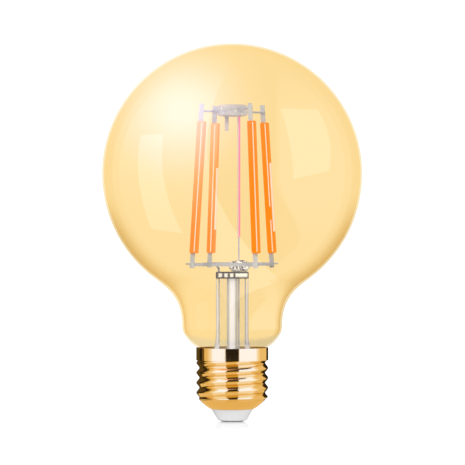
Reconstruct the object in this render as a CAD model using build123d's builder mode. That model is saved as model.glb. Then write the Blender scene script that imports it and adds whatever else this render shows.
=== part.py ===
"""Smart LED filament lamp: a 95 mm amber glass globe on an E27 screw cap.

Millimetres, +Z up along the lamp's axis. The origin is the middle of the centre contact's flat
underside, so the lamp stands on z = 0 and the globe is at the top. The front is -Y. The four
filaments stand on the corners of a square whose sides are turned CAGE_TURN from X and Y; points
of that cage are given as u (along the rails), v (from the front rail to the back one) and z.
"""

import math
import os

from build123d import *

# --- glass globe ------------------------------------------------------------------------------
GLOBE_DIAMETER = 95.0
OVERALL_HEIGHT = 138.0
GLASS_WALL = 0.7
SPHERE_EXIT_Z = 51.95  # where the hollow neck curve leaves the sphere
SPHERE_EXIT_HANDLE = 6.05
NECK_RADIUS = 18.2
NECK_Z = 34.7
NECK_HANDLE = 9.7
SHOULDER_HANDLE = 2.9
MOUTH_RADIUS = 13.0  # where the shoulder runs into the cap
MOUTH_Z = 27.15
MOUTH_SLOPE = 60.0  # degrees from the axis
MOUTH_HANDLE = 3.0
SEAL_TUBE_RADIUS = 11.5  # the straight tube inside the cap
SEAL_TUBE_TOP_Z = 24.6
SEAL_TUBE_HANDLE = 1.0
SEAL_Z = 19.8

# --- E27 screw cap ----------------------------------------------------------------------------
CAP_SHEET = 0.3
CAP_RIM_Z = 26.95
COLLAR_RADIUS = 13.15
COLLAR_BOTTOM_Z = 22.4
THREAD_CREST_RADIUS = 13.1
THREAD_ROOT_RADIUS = 12.05
THREAD_PITCH = 3.629
THREAD_FIRST_CREST_Z = 8.7  # the lowest full crest, on +X
RIDGE_HALF_WIDTH = 1.72
RIDGE_ROOTING = 0.12  # how far the ridge reaches into the cylinder it stands on
THREAD_RUN_OUT = 1.2
CONE_TOP_Z = 8.0
CONE_MID_RADIUS = 10.2
CONE_MID_Z = 6.2
CONE_FOOT_RADIUS = 7.9
CONE_FOOT_Z = 4.6
CEMENT_BOTTOM_Z = 22.9
CEMENT_TOP_Z = 26.3

# --- insulator and centre contact -------------------------------------------------------------
INSULATOR_FOOT_Z = 0.45
INSULATOR_FOOT_RADIUS = 5.0
INSULATOR_EDGE = 0.35
INSULATOR_CONE_RADIUS = 7.55
INSULATOR_CONE_TOP_Z = 4.5
INSULATOR_FLANGE_RADIUS = 8.1
INSULATOR_FLANGE_Z = 5.6
INSULATOR_TOP_Z = 6.4
INSULATOR_CUP_RADIUS = 5.4
INSULATOR_FLOOR_Z = 2.6
CONTACT_RADIUS = 4.6
CONTACT_FLAT_RADIUS = 3.4
RIVET_RADIUS = 1.4
RIVET_HEAD_RADIUS = 2.1
RIVET_TOP_Z = 3.0

# --- glass stem -------------------------------------------------------------------------------
STEM_RADIUS = 5.9
STEM_WALL = 0.85
STEM_FLARE_Z = 33.0
STEM_ROUND_TOP_Z = 44.0
STEM_PINCH_RADIUS = 5.95
STEM_PINCH_HALF_DEPTH = 3.0
LIP_BOTTOM_Z = 19.0
LIP_INNER_RADIUS = 10.3
FLARE_DROP = 7.0
FLARE_REACH = 2.9
FLARE_RISE = 2.0
PRESS_WIDTH = 12.0
PRESS_DEPTH = 6.2
PRESS_CORNER = 2.0
PRESS_BOTTOM_Z = 52.2
PRESS_TOP_Z = 54.65
PRESS_ROUNDING = 0.4
PRESS_GROOVE_RADIUS = 0.35
PRESS_GROOVE_SPACING = 1.95
PRESS_BAR_RADIUS = 0.55
PRESS_BAR_LENGTH = 4.0
PRESS_BAR_X = 3.3
EXHAUST_RADIUS = 1.95
EXHAUST_WALL = 0.75
EXHAUST_TIP_Z = 17.3
BEAD_X = 2.6
BEAD_FOOT_RADIUS = 3.1
BEAD_RIM_RADIUS = 3.8
BEAD_RIM_Z = 57.4
BEAD_TOP_Z = 58.9

# --- filament cage ----------------------------------------------------------------------------
CAGE_TURN = -15.0
CAGE_BOTTOM_RADIUS = 16.5
CAGE_TOP_RADIUS = 13.2
COAT_BOTTOM_Z = 61.5
COAT_TOP_Z = 109.35
COAT_WIDTH = 3.05
COAT_DEPTH = 2.7
COAT_CORNER = 0.95
COAT_END_ROUNDING = 0.4
SUBSTRATE_WIDTH = 1.3
SUBSTRATE_THICKNESS = 0.4
CHIPS_PER_FILAMENT = 28
CHIP_WIDTH = 0.5
CHIP_LENGTH = 1.1
CHIP_HEIGHT = 0.2
TAB_WIDTH = 1.7
TAB_THICKNESS = 0.25
TAB_IN_COAT = 2.2
TAB_TOP_Z = 115.8
TAB_BOTTOM_Z = 56.1

# --- rails, leads and bridge wires ------------------------------------------------------------
RAIL_V = 11.5  # middle of the strip, which lies against the filaments' lower tabs
RAIL_HALF_LENGTH = 12.85
RAIL_THICKNESS = 0.4
RAIL_BOTTOM_Z = 56.75
RAIL_TOP_Z = 58.0
RAIL_PIN_RADIUS = 0.275
RAIL_PIN_Z = 57.6
RAIL_PIN_END_U = 14.3
LEAD_RADIUS = 0.4
LEAD_TAIL_RADIUS = 0.2  # the thinner seal wire from the press down to the driver
LEAD_X = 4.6
LEAD_JOINT_Z = 52.8  # where the thick wire starts, inside the press
LEAD_JOINT_OVERLAP = 0.6
LEAD_TOP_X = 5.0
LEAD_TURN_Z = 56.0
LEAD_RAIL_Z = 57.4
LEAD_NEAR_U = 3.2
LEAD_FAR_U = 4.9
LEAD_BEND = 0.8
LEAD_RAIL_GAP = 0.02
BRIDGE_WIRE_RADIUS = 0.35
BRIDGE_LOWER_Z = 113.1
BRIDGE_UPPER_Z = 114.0
BRIDGE_CORNER = 8.6  # u and v of the bend beside each upper tab
BRIDGE_END_U = 9.9
BRIDGE_BEND = 0.8

# --- hub, support wire and getter -------------------------------------------------------------
HUB_RADIUS = 5.5
HUB_BOTTOM_Z = 111.5
HUB_TOP_Z = 115.6
HUB_ROUNDING = 1.1
HUB_DIMPLE_RADIUS = 0.45
HUB_DIMPLE_RISE = 0.85  # of the two rows of dimples above and below the hub's middle
HUB_DIMPLE_SPREAD = 32.0  # degrees from the front and the back
SUPPORT_WIRE_RADIUS = 0.275
SUPPORT_X = 2.4
SUPPORT_TOP_Z = 114.6
SUPPORT_TURN_Z = 19.5
SUPPORT_BEND = 0.7
SLEEVE_RADIUS = 0.55
SLEEVE_BOTTOM_Z = 67.5
GETTER_X = -2.0
GETTER_WIDTH = 1.45
GETTER_THICKNESS = 0.3
GETTER_BOTTOM_Z = 106.1
GETTER_IN_HUB = 0.8

# --- driver in the cap ------------------------------------------------------------------------
BOARD_WIDTH = 18.0
BOARD_THICKNESS = 1.0
BOARD_FRONT_Y = 0.5
BOARD_BOTTOM_Z = 7.6
BOARD_TOP_Z = 16.5
LEAD_FOOT_Z = 15.4
CAPACITOR_RADIUS = 3.15
CAPACITOR_LENGTH = 7.5
CAPACITOR_X = -4.8
CAPACITOR_Z = 12.0
INDUCTOR_X = 4.9
INDUCTOR_BOTTOM_Z = 8.4
INDUCTOR_HEIGHT = 5.5
INDUCTOR_FLANGE_RADIUS = 2.95
INDUCTOR_FLANGE = 0.8
INDUCTOR_CORE_RADIUS = 1.5
WINDING_RADIUS = 2.6
RECTIFIER_SIZE = (4.0, 1.6, 4.7)
RECTIFIER_X = -6.2
CHIP_BODY = (3.8, 1.5, 4.9)
CHIP_X = -1.4
CHIP_LEG = (0.4, 0.25, 0.4)
CHIP_LEG_PITCH = 1.27
PACKAGE_BOTTOM_Z = 9.0
RADIO_BOARD = (7.6, 0.8, 7.6)
RADIO_X = 5.0
RADIO_BOTTOM_Z = 8.2
RADIO_SHIELD = (6.4, 1.4, 5.8)
RADIO_SHIELD_BOTTOM_Z = 8.6
AERIAL_PAD_X = 3.4
AERIAL_FOOT_Z = 14.8
CONTACT_WIRE_RADIUS = 0.3
CONTACT_WIRE_TOP_Z = 10.0
FUSE_RADIUS = 1.0
FUSE_BOTTOM_Z = 3.6
FUSE_TOP_Z = 7.0
SHELL_WIRE_RADIUS = 0.25
SHELL_WIRE_X = 8.2
SHELL_WIRE_FOOT_Z = 12.5
SHELL_WIRE_TOP_Z = 17.8
SHELL_WIRE_END_X = 11.7
PAD_WIDTH = 1.4
PAD_HEIGHT = 0.9
PAD_THICKNESS = 0.1

globe_radius = GLOBE_DIAMETER / 2
globe_centre_z = OVERALL_HEIGHT - globe_radius
board_back_y = BOARD_FRONT_Y + BOARD_THICKNESS
contact_wire_y = BOARD_FRONT_Y - PAD_THICKNESS - CONTACT_WIRE_RADIUS
shell_wire_y = BOARD_FRONT_Y - PAD_THICKNESS - SHELL_WIRE_RADIUS
radio_back_y = board_back_y + RADIO_BOARD[1]

os.makedirs("parts", exist_ok=True)


def save(builder, name):
    """Labels a finished piece and writes it as one STEP file."""
    builder.part.label = name
    export_step(builder.part, f"parts/{name}.step")


def turned(*corners):
    """A solid of revolution about the lamp's axis; corners are radius and height."""
    with BuildPart() as body:
        with BuildSketch(Plane.XZ):
            with BuildLine():
                Polyline(*corners, close=True)
            make_face()
        revolve(axis=Axis.Z)
    return body.part


def wire(points, radius, bend):
    """A round wire bent through the points, with one bend radius."""
    with BuildPart() as body:
        with BuildLine() as path:
            FilletPolyline(*points, radius=bend)
        with BuildSketch(Plane(origin=path.line @ 0, z_dir=path.line % 0)):
            Circle(radius)
        sweep(path=path.line)
    return body.part


def cage_point(u, v, z):
    """A point of the filament cage in the lamp's own frame."""
    return Vector(u, v, z).rotate(Axis.Z, CAGE_TURN)


# ----------------------------------------------------------------------------------------------
# Glass globe and the cement that holds it in the cap
# ----------------------------------------------------------------------------------------------


def mouth_curve(inset):
    """From the shoulder's end down into the straight seal tube. Returns the tube's top."""
    slope = math.radians(MOUTH_SLOPE)
    mouth_way = Vector(-math.sin(slope), -math.cos(slope))
    mouth = Vector(MOUTH_RADIUS, MOUTH_Z) + Vector(mouth_way.Y, -mouth_way.X) * inset
    tube = Vector(SEAL_TUBE_RADIUS - inset, SEAL_TUBE_TOP_Z)
    Bezier(mouth, mouth + mouth_way, tube + Vector(0, SEAL_TUBE_HANDLE), tube)
    return mouth, mouth_way, tube


def globe_outline(inset):
    """The globe from its top to the end of its seal tube, moved in by inset."""
    radius = globe_radius - inset
    drop = globe_centre_z - SPHERE_EXIT_Z
    exit_point = Vector(math.sqrt(radius**2 - drop**2), SPHERE_EXIT_Z)
    exit_way = Vector(-drop, -exit_point.X).normalized()
    neck = Vector(NECK_RADIUS - inset, NECK_Z)
    CenterArc(
        (0, globe_centre_z),
        radius,
        start_angle=-math.degrees(math.asin(drop / radius)),
        arc_size=90 + math.degrees(math.asin(drop / radius)),
    )
    Bezier(
        exit_point,
        exit_point + exit_way * SPHERE_EXIT_HANDLE,
        neck + Vector(0, NECK_HANDLE),
        neck,
    )
    mouth, mouth_way, tube = mouth_curve(inset)
    Bezier(neck, neck - Vector(0, SHOULDER_HANDLE), mouth - mouth_way * MOUTH_HANDLE, mouth)
    Line(tube, (tube.X, SEAL_Z))


with BuildPart() as glass_globe:
    with BuildSketch(Plane.XZ):
        with BuildLine():
            globe_outline(0)
            globe_outline(GLASS_WALL)
            Line((SEAL_TUBE_RADIUS, SEAL_Z), (SEAL_TUBE_RADIUS - GLASS_WALL, SEAL_Z))
            Line((0, OVERALL_HEIGHT), (0, OVERALL_HEIGHT - GLASS_WALL))
        make_face()
    revolve(axis=Axis.Z)
save(glass_globe, "glass_globe")

with BuildPart() as basing_cement:
    with BuildSketch(Plane.XZ):
        with BuildLine():
            mouth_curve(0)
            Polyline(
                (SEAL_TUBE_RADIUS, SEAL_TUBE_TOP_Z),
                (SEAL_TUBE_RADIUS, CEMENT_BOTTOM_Z),
                (MOUTH_RADIUS, CEMENT_BOTTOM_Z),
                (MOUTH_RADIUS, MOUTH_Z),
            )
        make_face()
    revolve(axis=Axis.Z)
    add(
        turned(
            (0, CEMENT_BOTTOM_Z),
            (COLLAR_RADIUS - CAP_SHEET, CEMENT_BOTTOM_Z),
            (COLLAR_RADIUS - CAP_SHEET, CEMENT_TOP_Z),
            (0, CEMENT_TOP_Z),
        ),
        mode=Mode.INTERSECT,
    )
save(basing_cement, "basing_cement")


# ----------------------------------------------------------------------------------------------
# Screw cap, insulator and centre contact
# ----------------------------------------------------------------------------------------------


def thread_body(inset, top_z):
    """The threaded stretch as a solid, every radius moved in by inset."""
    root = THREAD_ROOT_RADIUS - inset
    crest = THREAD_CREST_RADIUS - inset
    foot = root - RIDGE_ROOTING
    flank = (root + crest) / 2
    half_width = RIDGE_HALF_WIDTH - inset / 3
    start_z = THREAD_FIRST_CREST_Z - THREAD_PITCH
    ridge_rise = COLLAR_BOTTOM_Z + 2 - start_z
    with BuildPart() as ridge:
        with BuildLine() as helix:
            Helix(THREAD_PITCH, ridge_rise, crest, center=(0, 0, start_z))
        with BuildSketch(Plane.XZ) as section:
            with BuildLine():
                Spline(
                    (foot, start_z - half_width),
                    (flank, start_z - THREAD_PITCH / 4),
                    (crest, start_z),
                    (flank, start_z + THREAD_PITCH / 4),
                    (foot, start_z + half_width),
                    tangents=((0.9, 1), (-0.9, 1)),
                )
                Line((foot, start_z + half_width), (foot, start_z - half_width))
            make_face()
        sweep(sections=section.sketch, path=helix.line, is_frenet=True)
    with BuildPart() as body:
        # fused over the ridge's whole length first, then both are trimmed together
        with BuildSketch(Plane.XY.offset(start_z - 3)):
            Circle(root)
        extrude(amount=ridge_rise + 6)
        add(ridge.part)
        add(
            turned(
                (0, CONE_TOP_Z),
                (root - 0.02, CONE_TOP_Z),
                (root - 0.02, CONE_TOP_Z + 0.1 + inset),
                (crest + 0.2, CONE_TOP_Z + THREAD_RUN_OUT + inset),
                (crest + 0.2, top_z),
                (0, top_z),
            ),
            mode=Mode.INTERSECT,
        )
    return body.part


def cap_cone(inset, floor_z):
    """The cone below the thread, closed by a flat or run on down as a plain hole."""
    root = THREAD_ROOT_RADIUS - inset
    foot = Vector(CONE_FOOT_RADIUS - inset, CONE_FOOT_Z + inset)
    with BuildPart() as body:
        with BuildSketch(Plane.XZ):
            with BuildLine():
                ThreePointArc(
                    (root, CONE_TOP_Z),
                    (CONE_MID_RADIUS - inset * 0.7, CONE_MID_Z + inset * 0.7),
                    foot,
                )
                Polyline(foot, (0, foot.Y), (0, CONE_TOP_Z), (root, CONE_TOP_Z))
            make_face()
        revolve(axis=Axis.Z)
        if floor_z < foot.Y:
            with BuildSketch(Plane.XY.offset(floor_z)):
                Circle(foot.X)
            extrude(amount=foot.Y - floor_z)
    return body.part


def cap_solid(inset, collar_z, rim_z, floor_z):
    """Thread, collar and cone as one solid body, every radius moved in by inset."""
    with BuildPart() as body:
        add(thread_body(inset, collar_z))
        with BuildSketch(Plane.XY.offset(collar_z)):
            Circle(COLLAR_RADIUS - inset)
        extrude(amount=rim_z - collar_z)
        add(cap_cone(inset, floor_z))
    return body.part


with BuildPart() as cap_shell:
    add(cap_solid(0, COLLAR_BOTTOM_Z, CAP_RIM_Z, CONE_FOOT_Z))
    add(
        cap_solid(CAP_SHEET, COLLAR_BOTTOM_Z + CAP_SHEET, CAP_RIM_Z + 1, CONE_FOOT_Z - 1),
        mode=Mode.SUBTRACT,
    )
save(cap_shell, "cap_shell")

with BuildPart() as cap_insulator:
    add(
        turned(
            (RIVET_RADIUS, INSULATOR_FOOT_Z),
            (INSULATOR_FOOT_RADIUS, INSULATOR_FOOT_Z),
            (INSULATOR_FOOT_RADIUS + INSULATOR_EDGE, INSULATOR_FOOT_Z + INSULATOR_EDGE),
            (INSULATOR_CONE_RADIUS, INSULATOR_CONE_TOP_Z),
            (INSULATOR_CONE_RADIUS, INSULATOR_FLANGE_Z),
            (INSULATOR_FLANGE_RADIUS, INSULATOR_FLANGE_Z),
            (INSULATOR_FLANGE_RADIUS, INSULATOR_TOP_Z),
            (INSULATOR_CUP_RADIUS, INSULATOR_TOP_Z),
            (INSULATOR_CUP_RADIUS, INSULATOR_FLOOR_Z),
            (RIVET_RADIUS, INSULATOR_FLOOR_Z),
        )
    )
save(cap_insulator, "cap_insulator")

with BuildPart() as centre_contact:
    with BuildSketch(Plane.XZ):
        with BuildLine():
            Line((0, 0), (CONTACT_FLAT_RADIUS, 0))
            TangentArc(
                (CONTACT_FLAT_RADIUS, 0), (CONTACT_RADIUS, INSULATOR_FOOT_Z), tangent=(1, 0)
            )
            Polyline(
                (CONTACT_RADIUS, INSULATOR_FOOT_Z),
                (RIVET_RADIUS, INSULATOR_FOOT_Z),
                (RIVET_RADIUS, INSULATOR_FLOOR_Z),
                (RIVET_HEAD_RADIUS, INSULATOR_FLOOR_Z),
                (RIVET_HEAD_RADIUS, RIVET_TOP_Z),
                (0, RIVET_TOP_Z),
                (0, 0),
            )
        make_face()
    revolve(axis=Axis.Z)
save(centre_contact, "centre_contact")


# ----------------------------------------------------------------------------------------------
# Wires that run through the glass
# ----------------------------------------------------------------------------------------------


def lead(side):
    """One lead from the driver up through the press to a rail; side -1 is the left, front one."""
    along_v = side * (RAIL_V - RAIL_THICKNESS / 2 - LEAD_RADIUS - LEAD_RAIL_GAP)
    rise = wire(
        (
            (side * LEAD_X, 0, LEAD_JOINT_Z),
            (side * LEAD_TOP_X, 0, LEAD_TURN_Z),
            cage_point(side * LEAD_NEAR_U, along_v, LEAD_RAIL_Z),
            cage_point(side * LEAD_FAR_U, along_v, LEAD_RAIL_Z),
        ),
        LEAD_RADIUS,
        LEAD_BEND,
    )
    tail_y = BOARD_FRONT_Y - PAD_THICKNESS - LEAD_TAIL_RADIUS
    with BuildPart() as body:
        add(rise)
        with BuildSketch(Plane.XY.offset(LEAD_FOOT_Z)):
            with Locations((side * (LEAD_X + LEAD_TAIL_RADIUS), tail_y)):
                Circle(LEAD_TAIL_RADIUS)
        extrude(amount=LEAD_JOINT_Z + LEAD_JOINT_OVERLAP - LEAD_FOOT_Z)
    return body.part


with BuildPart() as lead_wire_left:
    add(lead(-1))
save(lead_wire_left, "lead_wire_left")

with BuildPart() as lead_wire_right:
    add(lead(1))
save(lead_wire_right, "lead_wire_right")

with BuildPart() as support_wire:
    pad_y = radio_back_y + PAD_THICKNESS + SUPPORT_WIRE_RADIUS
    add(
        wire(
            (
                (SUPPORT_X, 0, SUPPORT_TOP_Z),
                (SUPPORT_X, 0, SUPPORT_TURN_Z),
                (AERIAL_PAD_X, pad_y, SUPPORT_TURN_Z - 2.5),
                (AERIAL_PAD_X, pad_y, AERIAL_FOOT_Z),
            ),
            SUPPORT_WIRE_RADIUS,
            SUPPORT_BEND,
        )
    )
save(support_wire, "support_wire")


def bridge(side, z):
    """A straight wire through the hub whose ends lie along two opposite filaments' tabs."""
    return wire(
        (
            cage_point(-BRIDGE_END_U, -side * BRIDGE_CORNER, z),
            cage_point(-BRIDGE_CORNER, -side * BRIDGE_CORNER, z),
            cage_point(BRIDGE_CORNER, side * BRIDGE_CORNER, z),
            cage_point(BRIDGE_END_U, side * BRIDGE_CORNER, z),
        ),
        BRIDGE_WIRE_RADIUS,
        BRIDGE_BEND,
    )


with BuildPart() as bridge_wire_lower:
    add(bridge(1, BRIDGE_LOWER_Z))
save(bridge_wire_lower, "bridge_wire_lower")

with BuildPart() as bridge_wire_upper:
    add(bridge(-1, BRIDGE_UPPER_Z))
save(bridge_wire_upper, "bridge_wire_upper")

with BuildPart() as getter_strip:
    with Locations((GETTER_X, 0, GETTER_BOTTOM_Z)):
        Box(
            GETTER_WIDTH,
            GETTER_THICKNESS,
            HUB_BOTTOM_Z + GETTER_IN_HUB - GETTER_BOTTOM_Z,
            align=(Align.CENTER, Align.CENTER, Align.MIN),
        )
save(getter_strip, "getter_strip")


# ----------------------------------------------------------------------------------------------
# Glass stem
# ----------------------------------------------------------------------------------------------

with BuildPart() as stem_flare:
    with BuildSketch(Plane.XZ):
        with BuildLine():
            bore = STEM_RADIUS - STEM_WALL
            tube_inner = SEAL_TUBE_RADIUS - GLASS_WALL
            Polyline(
                (bore, STEM_ROUND_TOP_Z),
                (STEM_RADIUS, STEM_ROUND_TOP_Z),
                (STEM_RADIUS, STEM_FLARE_Z),
            )
            Bezier(
                (STEM_RADIUS, STEM_FLARE_Z),
                (STEM_RADIUS, STEM_FLARE_Z - FLARE_DROP),
                (tube_inner - FLARE_REACH, SEAL_Z + FLARE_RISE),
                (tube_inner, SEAL_Z),
            )
            Polyline(
                (tube_inner, SEAL_Z),
                (SEAL_TUBE_RADIUS, SEAL_Z),
                (SEAL_TUBE_RADIUS, LIP_BOTTOM_Z),
                (LIP_INNER_RADIUS, LIP_BOTTOM_Z),
            )
            Bezier(
                (LIP_INNER_RADIUS, LIP_BOTTOM_Z),
                (LIP_INNER_RADIUS - FLARE_REACH, LIP_BOTTOM_Z + FLARE_RISE),
                (bore, STEM_FLARE_Z - FLARE_DROP - STEM_WALL / 2),
                (bore, STEM_FLARE_Z),
            )
            Line((bore, STEM_FLARE_Z), (bore, STEM_ROUND_TOP_Z))
        make_face()
    revolve(axis=Axis.Z)
    with BuildSketch(Plane.XY.offset(STEM_ROUND_TOP_Z)):
        Circle(STEM_RADIUS)
    with BuildSketch(Plane.XY.offset(PRESS_BOTTOM_Z)):
        Ellipse(STEM_PINCH_RADIUS, STEM_PINCH_HALF_DEPTH)
    loft()
    with BuildSketch(Plane.XY.offset(STEM_ROUND_TOP_Z)):
        Circle(STEM_RADIUS - STEM_WALL)
    with BuildSketch(Plane.XY.offset(PRESS_BOTTOM_Z)):
        Ellipse(STEM_PINCH_RADIUS - STEM_WALL, STEM_PINCH_HALF_DEPTH - STEM_WALL)
    loft(mode=Mode.SUBTRACT)
save(stem_flare, "stem_flare")

with BuildPart() as exhaust_tube:
    with BuildSketch(Plane.XZ):
        with BuildLine():
            inner = EXHAUST_RADIUS - EXHAUST_WALL
            round_z = EXHAUST_TIP_Z + EXHAUST_RADIUS
            RadiusArc((0, EXHAUST_TIP_Z), (EXHAUST_RADIUS, round_z), -EXHAUST_RADIUS)
            Polyline(
                (EXHAUST_RADIUS, round_z),
                (EXHAUST_RADIUS, PRESS_BOTTOM_Z),
                (inner, PRESS_BOTTOM_Z),
                (inner, round_z),
            )
            RadiusArc((inner, round_z), (0, EXHAUST_TIP_Z + EXHAUST_WALL), inner)
            Line((0, EXHAUST_TIP_Z + EXHAUST_WALL), (0, EXHAUST_TIP_Z))
        make_face()
    revolve(axis=Axis.Z)
save(exhaust_tube, "exhaust_tube")

with BuildPart() as stem_press:
    with BuildSketch(Plane.XY.offset(PRESS_BOTTOM_Z)):
        RectangleRounded(PRESS_WIDTH, PRESS_DEPTH, PRESS_CORNER)
    extrude(amount=PRESS_TOP_Z - PRESS_BOTTOM_Z)
    fillet(faces().sort_by(Axis.Z)[-1].edges(), PRESS_ROUNDING)
    # dents left by the jaws on the left half, and the swollen bar beside them
    with BuildSketch(Plane.XY.offset(PRESS_BOTTOM_Z)):
        with Locations(
            *[
                (-step * PRESS_GROOVE_SPACING, face * PRESS_DEPTH / 2)
                for step in range(3)
                for face in (-1, 1)
            ]
        ):
            Circle(PRESS_GROOVE_RADIUS)
    extrude(amount=PRESS_TOP_Z - PRESS_BOTTOM_Z, mode=Mode.SUBTRACT)
    with BuildSketch(Plane.YZ.offset(PRESS_BAR_X - PRESS_BAR_LENGTH / 2)):
        with Locations(
            *[(face * PRESS_DEPTH / 2, (PRESS_BOTTOM_Z + PRESS_TOP_Z) / 2) for face in (-1, 1)]
        ):
            Circle(PRESS_BAR_RADIUS)
    extrude(amount=PRESS_BAR_LENGTH)
    for strand in (lead_wire_left, lead_wire_right, support_wire):
        add(strand.part, mode=Mode.SUBTRACT)
save(stem_press, "stem_press")

with BuildPart() as bead_round:
    with BuildSketch(Plane.XZ):
        with BuildLine():
            Line((0, PRESS_TOP_Z), (BEAD_FOOT_RADIUS, PRESS_TOP_Z))
            Spline(
                (BEAD_FOOT_RADIUS, PRESS_TOP_Z),
                (BEAD_RIM_RADIUS, BEAD_RIM_Z),
                (0, BEAD_TOP_Z),
                tangents=((0.3, 1), (-1, 0)),
            )
            Line((0, BEAD_TOP_Z), (0, PRESS_TOP_Z))
        make_face()
    revolve(axis=Axis.Z)

with BuildPart() as stem_bead:
    with Locations((BEAD_X, 0, 0)):
        add(bead_round.part)
    for strand in (lead_wire_right, support_wire):
        add(strand.part, mode=Mode.SUBTRACT)
save(stem_bead, "stem_bead")

with BuildPart() as top_hub:
    with BuildSketch(Plane.XY.offset(HUB_BOTTOM_Z)):
        Circle(HUB_RADIUS)
    extrude(amount=HUB_TOP_Z - HUB_BOTTOM_Z)
    fillet(edges(), HUB_ROUNDING)
    hub_middle_z = (HUB_BOTTOM_Z + HUB_TOP_Z) / 2
    for middle in (-90, 90):
        for turn in (-HUB_DIMPLE_SPREAD, HUB_DIMPLE_SPREAD):
            angle = math.radians(middle + turn)
            at = (math.cos(angle) * HUB_RADIUS, math.sin(angle) * HUB_RADIUS)
            for rise in (-HUB_DIMPLE_RISE, HUB_DIMPLE_RISE):
                with Locations((*at, hub_middle_z + rise)):
                    Sphere(HUB_DIMPLE_RADIUS, mode=Mode.SUBTRACT)
    for strand in (support_wire, getter_strip, bridge_wire_lower, bridge_wire_upper):
        add(strand.part, mode=Mode.SUBTRACT)
save(top_hub, "top_hub")

with BuildPart() as support_sleeve:
    with BuildSketch(Plane.XY.offset(SLEEVE_BOTTOM_Z)):
        with Locations((SUPPORT_X, 0)):
            Circle(SLEEVE_RADIUS)
            Circle(SUPPORT_WIRE_RADIUS, mode=Mode.SUBTRACT)
    extrude(amount=HUB_BOTTOM_Z - SLEEVE_BOTTOM_Z)
save(support_sleeve, "support_sleeve")


# ----------------------------------------------------------------------------------------------
# Rails and filaments
# ----------------------------------------------------------------------------------------------


def rail(side):
    """A stamped strip with a round pin drawn out of each end; side -1 is the front one."""
    across = Plane(cage_point(0, side * RAIL_V, 0), x_dir=cage_point(1, 0, 0), z_dir=(0, 0, 1))
    with BuildPart(across) as body:
        with Locations((0, 0, (RAIL_BOTTOM_Z + RAIL_TOP_Z) / 2)):
            Box(2 * RAIL_HALF_LENGTH, RAIL_THICKNESS, RAIL_TOP_Z - RAIL_BOTTOM_Z)
        pin_length = RAIL_PIN_END_U - RAIL_HALF_LENGTH + 0.05
        for end in (-1, 1):
            with Locations((end * (RAIL_PIN_END_U - pin_length / 2), 0, RAIL_PIN_Z)):
                Cylinder(RAIL_PIN_RADIUS, pin_length, rotation=(0, 90, 0))
    return body.part


with BuildPart() as rail_front:
    add(rail(-1))
save(rail_front, "rail_front")

with BuildPart() as rail_back:
    add(rail(1))
save(rail_back, "rail_back")

corner_bottom = CAGE_BOTTOM_RADIUS / math.sqrt(2)
corner_top = CAGE_TOP_RADIUS / math.sqrt(2)

# numbered clockwise from the front left, seen from above
for number, (side_u, side_v) in enumerate(((-1, -1), (-1, 1), (1, 1), (1, -1)), start=1):
    foot = cage_point(side_u * corner_bottom, side_v * corner_bottom, COAT_BOTTOM_Z)
    head = cage_point(side_u * corner_top, side_v * corner_top, COAT_TOP_Z)
    upright = Plane(foot, x_dir=cage_point(1, 0, 0), z_dir=head - foot)
    coat_length = (head - foot).length
    stretch = coat_length / (COAT_TOP_Z - COAT_BOTTOM_Z)  # length along the filament per height
    substrate_length = coat_length - 2 * TAB_IN_COAT
    chip_pitch = substrate_length / CHIPS_PER_FILAMENT

    with BuildPart(upright) as filament_tabs:
        low = (TAB_BOTTOM_Z - COAT_BOTTOM_Z) * stretch
        high = (TAB_TOP_Z - COAT_BOTTOM_Z) * stretch
        for start, end in ((low, TAB_IN_COAT), (coat_length - TAB_IN_COAT, high)):
            with Locations((0, 0, (start + end) / 2)):
                Box(TAB_WIDTH, TAB_THICKNESS, end - start)
    save(filament_tabs, f"filament_tabs_{number}")

    with BuildPart(upright) as filament_substrate:
        with Locations((0, 0, coat_length / 2)):
            Box(SUBSTRATE_WIDTH, SUBSTRATE_THICKNESS, substrate_length)
    save(filament_substrate, f"filament_substrate_{number}")

    with BuildPart(upright) as filament_chips:
        chip_y = side_v * (SUBSTRATE_THICKNESS + CHIP_HEIGHT) / 2
        for step in range(CHIPS_PER_FILAMENT):
            with Locations((0, chip_y, TAB_IN_COAT + (step + 0.5) * chip_pitch)):
                Box(CHIP_WIDTH, CHIP_HEIGHT, CHIP_LENGTH)
    save(filament_chips, f"filament_chips_{number}")

    with BuildPart(upright) as filament_coat:
        with BuildSketch(upright):
            RectangleRounded(COAT_WIDTH, COAT_DEPTH, COAT_CORNER)
        extrude(amount=coat_length)
        fillet(edges().filter_by(GeomType.LINE, reverse=True), COAT_END_ROUNDING)
    with BuildPart() as filament_coat_hollow:
        add(filament_coat.part)
        for inner_piece in (filament_tabs, filament_substrate, filament_chips):
            add(inner_piece.part, mode=Mode.SUBTRACT)
    save(filament_coat_hollow, f"filament_coat_{number}")


# ----------------------------------------------------------------------------------------------
# Driver in the cap
# ----------------------------------------------------------------------------------------------

UPRIGHT = (Align.CENTER, Align.MIN, Align.MIN)

with BuildPart() as driver_board:
    with Locations((0, BOARD_FRONT_Y, BOARD_BOTTOM_Z)):
        Box(BOARD_WIDTH, BOARD_THICKNESS, BOARD_TOP_Z - BOARD_BOTTOM_Z, align=UPRIGHT)
save(driver_board, "driver_board")

with BuildPart() as bulk_capacitor:
    with Locations((CAPACITOR_X, BOARD_FRONT_Y - CAPACITOR_RADIUS, CAPACITOR_Z)):
        Cylinder(CAPACITOR_RADIUS, CAPACITOR_LENGTH, rotation=(0, 90, 0))
    fillet(edges().filter_by(GeomType.CIRCLE), 0.4)
save(bulk_capacitor, "bulk_capacitor")

inductor_at = (INDUCTOR_X, BOARD_FRONT_Y - INDUCTOR_FLANGE_RADIUS, INDUCTOR_BOTTOM_Z)
winding_height = INDUCTOR_HEIGHT - 2 * INDUCTOR_FLANGE
STANDING = (Align.CENTER, Align.CENTER, Align.MIN)

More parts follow.
